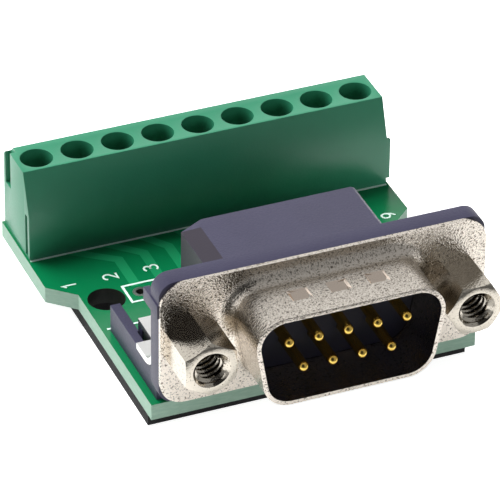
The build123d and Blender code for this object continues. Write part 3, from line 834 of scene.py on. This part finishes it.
@dataclass
class Plug:
    """D-sub plug: nickel front, black housing, gold pins, brackets and jack screws.

    The body is the block behind the flange: body_half is half its width, rim_bevel the bevel round
    its roof and the band a broad slope along its left upper edge. Its right rear corner is cut off
    in the solids by up to corner_x and corner_y. The jack screws' sizes are those of the real thread.
    """

    slack: float = 0.05 * MM
    edge_radius: float = 0.12 * MM
    body_half: float = 8.65 * MM
    body_roof: float = 13.45 * MM
    body_front: float = -16.1 * MM
    rim_bevel: float = 0.45 * MM
    band_inner: float = -6.85 * MM
    band_drop: float = 0.25 * MM
    corner_x: float = 2.5 * MM
    corner_y: float = 1.8 * MM
    corner_bevel: float = 0.1 * MM
    lip_zone: float = 0.2 * MM
    lip_bevel: float = 0.04 * MM
    dimple_floor: float = 14.74 * MM
    dimple_middle: float = -21.35 * MM
    dimple_half: float = 0.55 * MM
    dimple_rise: float = 0.26 * MM
    dimples_half: float = 5.0 * MM
    thread_pitch: float = 0.635 * MM
    bore_crest: float = 1.2 * MM
    bore_root: float = 1.5 * MM
    bore_depth: float = 4.4 * MM
    mouth_radius: float = 1.75 * MM
    shank_crest: float = 1.35 * MM
    shank_root: float = 1.1 * MM
    shank_length: float = 5.2 * MM
    shank_tip: float = 0.9 * MM
    half_flats: float = 2.375 * MM
    head_length: float = 4.75 * MM
    face_radius: float = 2.3 * MM
    face_step: float = 0.05 * MM
    chamfer_angle: float = math.radians(30)
    jack_steps: int = 72
    jack_smooth: float = 28
    pin_radius: float = 0.5 * MM
    tip_length: float = 0.55 * MM
    tip_rows: int = 8
    tip_steps: int = 42
    tip_weld: float = 0.004 * MM

    def dress(self, nodes: dict[str, Object]) -> None:
        """Dress every piece of the plug.

        Args:
            nodes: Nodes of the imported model.
        """
        self.shell(nodes["front_shell"])
        # The insert's near-black colour is painted shade of the plug's mouth
        dress(nodes["pin_insert"], INSERT_SHADED_POLYESTER.build())
        self.housing(nodes["dsub_housing"])
        turned, gold, tin = NICKEL_TURNED.build(), GOLD_FLASH.build(), BRIGHT_TIN.build()
        for side, corner in (("left", 30), ("right", 0)):
            dress(nodes[f"bracket_{side}"], tin)
            self.jack(side, math.radians(corner), turned)
        for index in range(1, WAYS + 1):
            self.pin(nodes[f"contact_pin_{index}"], index, gold)

    def shell(self, node: Object) -> None:
        """Finish the drawn shell, with the floors of its dimples smoother and tinted brighter and browner
        as a painted reflection.

        Args:
            node: Node of the shell.
        """
        shell = softened(node, "drawn_shell", NICKEL_PLATE.build(), 0, self.press)
        # Dimple floors get a brighter, browner tint: painted reflection
        shell.data.materials.append(NICKEL_DIMPLE_REFLECTION.build())
        for polygon in shell.data.polygons:
            centre = polygon.center
            deep = -self.slack < centre.z - self.dimple_floor < self.dimple_rise
            over_mouth = abs(centre.x) < self.dimples_half
            in_row = centre.y > self.dimple_middle - self.slack
            if deep and over_mouth and in_row and polygon.normal.z > MOSTLY:
                polygon.material_index = 1
        settle(shell, "root", "nickel", "front_shell")

    def press(self, bm: BMesh) -> None:
        """Draw the bevel of the shell's lip close to its cut face and tilt the dimples' floors.

        Args:
            bm: Mesh of the shell.
        """
        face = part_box("front_shell")[0].y
        for vert in bm.verts:
            spot = vert.co
            if self.slack < spot.y - face < self.lip_zone:
                spot.y = face + self.lip_bevel
            on_floor = abs(spot.z - self.dimple_floor) < self.slack and abs(spot.x) < self.dimples_half
            if on_floor and 0 < spot.y - self.dimple_middle < self.dimple_half + self.slack:
                spot.z += self.dimple_rise

    def housing(self, node: Object) -> None:
        """Finish the black housing, with its left wall and band smoother and darker, the darker colour
        being painted shade.

        Args:
            node: Node of the housing.
        """
        housing = softened(
            node, "plug_housing", HOUSING_POLYESTER.build(), self.edge_radius, self.mend_body
        )
        # The left wall and the band get a darker colour: painted shade
        housing.data.materials.append(HOUSING_SHADED_BAND.build())
        for polygon in housing.data.polygons:
            centre, normal = polygon.center, polygon.normal
            over_body = -self.body_half < centre.x < self.band_inner and centre.y > self.body_front
            on_band = over_body and centre.z > self.body_roof - self.rim_bevel and normal.z > SQUARELY
            on_wall = abs(centre.x + self.body_half) < self.slack and normal.x < -SQUARELY
            if on_band or on_wall:
                polygon.material_index = 1
                polygon.use_smooth = False
        settle(housing, "root", "black_plastic", "dsub_housing")

    def mend_body(self, bm: BMesh) -> None:
        """Square the body's right rear corner and widen the slope along its left upper edge.

        Args:
            bm: Mesh of the housing.
        """
        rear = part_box("dsub_housing")[1].y
        for vert in bm.verts:
            spot = vert.co
            from_wall = spot.x + self.body_half
            if abs(from_wall - self.rim_bevel) < self.slack and spot.z > self.body_roof - self.slack:
                spot.x = self.band_inner
            elif abs(from_wall) < self.slack and spot.z > self.body_roof - self.rim_bevel - self.slack:
                spot.z = self.body_roof - self.band_drop
            in_corner = -self.corner_x < spot.x - self.body_half < self.slack
            if not in_corner or spot.y < rear - self.corner_y:
                continue
            inset = self.rim_bevel if spot.z > self.body_roof - self.slack else 0.0
            on_rear = spot.y > rear - self.rim_bevel - self.slack
            spot.x = self.body_half - inset - (self.corner_bevel if on_rear else 0)
            spot.y = rear - inset - (0 if on_rear else self.corner_bevel)

    def jack(self, side: str, corner: float, material: Material) -> None:
        """Cut one jack screw: chamfered hexagon, threaded mouth and threaded shank.

        Args:
            side: "left" or "right".
            corner: Angle of the first corner of the hexagon.
            material: Its material.
        """
        low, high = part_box(f"jack_screw_{side}")
        top = self.head_length
        place = facing_front((low.x + high.x) / 2, low.y + top, (low.z + high.z) / 2)
        sixth = math.pi / 3

        def hexagon(angle: float) -> float:
            """Distance from the axis to the hexagon."""
            return self.half_flats / math.cos((angle - corner) % sixth - sixth / 2)

        def chamfer(angle: float) -> float:
            """Height at which the chamfer cuts the hexagon."""
            return top - (hexagon(angle) - self.face_radius) * math.tan(self.chamfer_angle)

        bm = bmesh.new()
        skin(bm, [ring_at(place, self.jack_steps, radius, height) for radius, height in (
            (lambda a: self.shank_crest, lambda a: 0.0),
            (hexagon, lambda a: 0.0),
            (hexagon, chamfer),
            (lambda a: self.face_radius - self.face_step, lambda a: top),
            (lambda a: self.mouth_radius, lambda a: top),
        )])
        self.thread(
            bm, place, top - self.bore_depth, top, self.bore_crest, self.bore_root,
            lambda z, r: max(r, self.mouth_radius - (top - z)),
        )
        self.thread(
            bm, place, -self.shank_length, 0.0, self.shank_root, self.shank_crest,
            lambda z, r: self.shank_crest if z > -WELD else min(r, self.shank_tip + self.shank_length + z),
        )
        bmesh.ops.remove_doubles(bm, verts=bm.verts, dist=WELD)
        screw = mesh_object(f"jack_{side}_threaded", bm, material, self.jack_smooth)
        settle(screw, "root", "nickel", f"jack_screw_{side}")

    def thread(
        self, bm: BMesh, place: Matrix, low: float, high: float, inner: float, outer: float,
        limit: Callable[[float, float], float],
    ) -> None:
        """Wind one thread about the Z axis of a place, with its rows along the helix.

        Args:
            bm: Mesh that gets it.
            place: Where the axis stands.
            low: Height where it starts, closed by a flat end.
            high: Height where it ends.
            inner: Smallest radius.
            outer: Largest radius.
            limit: Radius from height and the thread's own radius, for the funnel or the lead.
        """
        steps = self.jack_steps
        radii = (inner, inner, outer, outer)
        turn_rows = len(radii)
        count = turn_rows * math.ceil((high - low) / self.thread_pitch + 1)
        rows = []
        for k in range(count + 1):
            row = []
            for i in range(steps):
                z = low + self.thread_pitch * (k / turn_rows + i / steps - 1)
                z = min(max(z, low), high)
                radius = limit(z, radii[k % turn_rows])
                angle = math.tau * i / steps
                spot = Vector((radius * math.cos(angle), radius * math.sin(angle), z))
                row.append(bm.verts.new(place @ spot))
            rows.append(row)
        for k in range(count):
            for i in range(steps):
                j = (i + 1) % steps
                lift = 0 if j else turn_rows
                near, far = min(k + lift, count), min(k + 1 + lift, count)
                corners = dict.fromkeys((rows[k][i], rows[near][j], rows[far][j], rows[k + 1][i]))
                bm.faces.new(corners)
        middle = bm.verts.new(place @ Vector((0, 0, low)))
        for i in range(steps):
            bm.faces.new((rows[0][i - 1], rows[0][i], middle))

    def pin(self, node: Object, index: int, material: Material) -> None:
        """Give one contact its rounded tip.

        Args:
            node: Node of the contact.
            index: Its number.
            material: Its material.
        """
        low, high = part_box(node.name)
        cut_y = low.y + self.tip_length
        bm = bmesh.new()
        bm.from_mesh(node.data)
        bmesh.ops.bisect_plane(
            bm, geom=bm.verts[:] + bm.edges[:] + bm.faces[:], plane_co=(0, cut_y, 0),
            plane_no=(0, -1, 0), clear_outer=True,
        )
        place = facing_front((low.x + high.x) / 2, cut_y, high.z - self.pin_radius)
        quarter = [math.pi / 2 * i / self.tip_rows for i in range(self.tip_rows)]
        profile = [(self.pin_radius * math.cos(a), self.tip_length * math.sin(a)) for a in quarter]
        lathe(bm, [*profile, (0.0, self.tip_length)], place, self.tip_steps)
        bmesh.ops.remove_doubles(bm, verts=bm.verts, dist=self.tip_weld)
        rounded = mesh_object(f"gold_pin_{index}", bm, material, SMOOTH)
        settle(rounded, "root", "gold", node.name)


@dataclass
class TerminalBlock:
    """Screw terminal block: green moulding, clamp screws, cages and contact bars."""

    edge_radius: float = 0.06 * MM

    def dress(self, nodes: dict[str, Object]) -> None:
        """Dress every piece of the block.

        Args:
            nodes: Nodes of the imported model.
        """
        zinc, tin = ZINC_PLATE.build(), DULL_TIN.build()
        block = softened(
            nodes["terminal_housing"], "block_moulding", BLOCK_POLYAMIDE.build(), self.edge_radius
        )
        settle(block, "root", "green_plastic", "terminal_housing")
        for index in range(1, WAYS + 1):
            dress(nodes[f"terminal_contact_{index}"], tin)
            dress(nodes[f"clamp_cage_{index}"], zinc)
            dress(nodes[f"clamp_screw_{index}"], zinc)


@dataclass(frozen=True)
class Lamp:
    """Soft square lamp that looks at the origin.

    Args:
        name: Name of the lamp.
        place: Its place.
        size: Side of its panel.
        power: Power in watts.
    """

    name: str
    place: tuple[float, float, float]
    size: float
    power: float

    def hang(self) -> None:
        """Hang the lamp; metals mirror the world and the floor, never its panel."""
        data = bpy.data.lights.new(self.name, "AREA")
        data.energy = self.power
        data.size = self.size
        lamp = bpy.data.objects.new(self.name, data)
        lamp.location = self.place
        lamp.rotation_euler = (-Vector(self.place)).to_track_quat("-Z", "Y").to_euler()
        lamp.visible_glossy = False
        bpy.context.scene.collection.objects.link(lamp)


@dataclass
class Studio:
    """Pale floor, soft lamps and the camera of the photograph.

    The world is a bright screen behind the object, dim overhead, and a dim room on the camera's
    side that is nearly dark about the camera. Screen limits are shares of a ray's direction.
    """

    azimuth: float = -22.63
    elevation: float = 33.99
    roll: float = 0.69
    position_mm: tuple[float, float, float] = (-131.02, -315.64, 235.75)
    lens_mm: float = 325.24
    sensor_mm: float = 36.0
    screen_skew: float = -0.35
    screen_start: float = -0.35
    screen_full: float = 0.25
    zenith_start: float = 0.55
    zenith_full: float = 0.9
    dark_zenith: float = 0.2
    front_level: float = 0.35
    dark_spot: float = 0.03
    spot_inner: float = 0.9
    spot_outer: float = 0.78
    diffuse_share: float = 0.45
    floor_half: float = 1.2
    floor_drop: float = 0.1 * MM
    floor_colour: str = "#d8d8d8"
    floor_unlit: str = "#202020"
    floor_roughness: float = 0.9
    floor_dark_y: float = -0.075
    floor_light_y: float = -0.03
    floor_far: float = 0.08
    floor_near: float = 0.55
    floor_glow: float = 0.9
    lamps: tuple[Lamp, ...] = (
        Lamp("key", (-0.15, 0.3, 0.5), size=0.35, power=6.5),
        Lamp("side", (-0.55, 0.05, 0.2), size=0.3, power=0.6),
        Lamp("front", (0.1, -0.55, 0.12), size=0.3, power=1.0),
    )

    def camera(self) -> None:
        """Place the camera where the photograph was taken from."""
        az, el, roll = (math.radians(a) for a in (self.azimuth, self.elevation, self.roll))
        ahead = Vector((-math.sin(az) * math.cos(el), math.cos(az) * math.cos(el), -math.sin(el)))
        level = Vector((math.cos(az), math.sin(az), 0))
        lift = level.cross(ahead)
        right = math.cos(roll) * level + math.sin(roll) * lift
        up = math.cos(roll) * lift - math.sin(roll) * level
        data = bpy.data.cameras.new("photo_camera")
        data.lens = self.lens_mm
        data.sensor_width = self.sensor_mm
        camera = bpy.data.objects.new("photo_camera", data)
        turn = Matrix((right, up, -ahead)).transposed().to_4x4()
        camera.matrix_world = Matrix.Translation(Vector(self.position_mm) * MM) @ turn
        bpy.context.scene.collection.objects.link(camera)
        bpy.context.scene.camera = camera

    def world(self) -> None:
        """Light the object from the screen and the room, and show white to the camera."""
        world = bpy.data.worlds.new("studio")
        world.use_nodes = True
        tree = world.node_tree
        tree.nodes.clear()
        path = add_node(tree, "LightPath")
        ray = add_node(tree, "TexCoord").outputs["Generated"]
        parts = add_node(tree, "SeparateXYZ", {0: ray})
        rearward = add_node(
            tree, "Math",
            {0: parts.outputs["X"], 1: self.screen_skew, 2: parts.outputs["Y"]},
            operation="MULTIPLY_ADD",
        )
        behind = add_node(
            tree, "MapRange",
            {
                "Value": rearward.outputs[0], "From Min": self.screen_start,
                "From Max": self.screen_full,
            },
            interpolation_type="SMOOTHSTEP",
        )
        zenith = add_node(
            tree, "MapRange",
            {
                "Value": parts.outputs["Z"], "From Min": self.zenith_start,
                "From Max": self.zenith_full, "To Min": 1.0, "To Max": self.dark_zenith,
            },
            interpolation_type="SMOOTHSTEP",
        )
        screen = add_node(
            tree, "Math", {0: behind.outputs["Result"], 1: zenith.outputs["Result"]}, operation="MULTIPLY"
        )
        az, el = math.radians(self.azimuth), math.radians(self.elevation)
        toward = (math.sin(az) * math.cos(el), -math.cos(az) * math.cos(el), math.sin(el))
        nearness = add_node(tree, "VectorMath", {0: ray, 1: toward}, operation="DOT_PRODUCT")
        room = add_node(
            tree, "MapRange",
            {
                "Value": nearness.outputs["Value"], "From Min": self.spot_outer,
                "From Max": self.spot_inner, "To Min": self.front_level, "To Max": self.dark_spot,
            },
            interpolation_type="SMOOTHSTEP",
        )
        level = add_node(
            tree, "Math", {0: screen.outputs[0], 1: room.outputs["Result"]}, operation="MAXIMUM"
        )
        soft = add_node(
            tree, "MapRange",
            {"Value": path.outputs["Is Diffuse Ray"], "To Min": 1.0, "To Max": self.diffuse_share},
        )
        lit = add_node(tree, "Math", {0: level.outputs[0], 1: soft.outputs["Result"]}, operation="MULTIPLY")
        shown = add_node(
            tree, "Math", {0: lit.outputs[0], 1: path.outputs["Is Camera Ray"]}, operation="MAXIMUM"
        )
        background = add_node(tree, "Background", {"Color": (1, 1, 1, 1), "Strength": shown.outputs[0]})
        add_node(tree, "OutputWorld", {"Surface": background.outputs[0]})
        bpy.context.scene.world = world

    def floor(self) -> None:
        """Lay a pale floor just under the adapter, darker in mirrors the further in front it is."""
        bm = bmesh.new()
        half = self.floor_half
        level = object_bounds()[0][2] - self.floor_drop
        corners = [(-half, -half), (half, -half), (half, half), (-half, half)]
        bm.faces.new([bm.verts.new((x, y, level)) for x, y in corners])
        material, tree = new_material("pale_floor")
        path = add_node(tree, "LightPath")
        place = add_node(tree, "TexCoord").outputs["Object"]
        depth = {
            "Value": add_node(tree, "SeparateXYZ", {0: place}).outputs["Y"],
            "From Min": self.floor_dark_y, "From Max": self.floor_light_y,
        }
        mirrored = []
        for far, near in ((self.floor_far, self.floor_near), (1.0, 0.0)):
            fade = add_node(
                tree, "MapRange", {**depth, "To Min": far, "To Max": near},
                interpolation_type="SMOOTHSTEP",
            )
            mirrored.append(add_node(
                tree, "Math",
                {0: fade.outputs["Result"], 1: path.outputs["Is Glossy Ray"]},
                operation="MULTIPLY",
            ).outputs[0])
        glow, unlit = mirrored
        shown = add_node(
            tree, "Math",
            {0: path.outputs["Is Camera Ray"], 1: self.floor_glow, 2: glow},
            operation="MULTIPLY_ADD",
        )
        base = add_node(
            tree, "Mix",
            {"Factor": unlit, "A": linear(self.floor_colour), "B": linear(self.floor_unlit)},
            data_type="RGBA",
        )
        shader = add_node(
            tree, "BsdfPrincipled",
            {
                "Base Color": base.outputs["Result"], "Roughness": self.floor_roughness,
                "Emission Color": (1, 1, 1, 1), "Emission Strength": shown.outputs[0],
            },
        )
        add_node(tree, "OutputMaterial", {"Surface": shader.outputs[0]})
        floor = mesh_object("floor", bm, material)
        floor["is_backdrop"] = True

    def build(self) -> None:
        """Build the whole studio."""
        bpy.context.scene.view_settings.view_transform = "Standard"
        self.camera()
        self.world()
        self.floor()
        for lamp in self.lamps:
            lamp.hang()


def main() -> None:
    """Build the classes in order."""
    logging.basicConfig(level=logging.INFO, format="%(name)s: %(message)s")
    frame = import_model()
    Studio().build()
    for part in (Board(), Plug(), TerminalBlock()):
        part.dress(frame["nodes"])
        log.info("%s dressed", type(part).__name__)


if __name__ == "__main__":
    main()
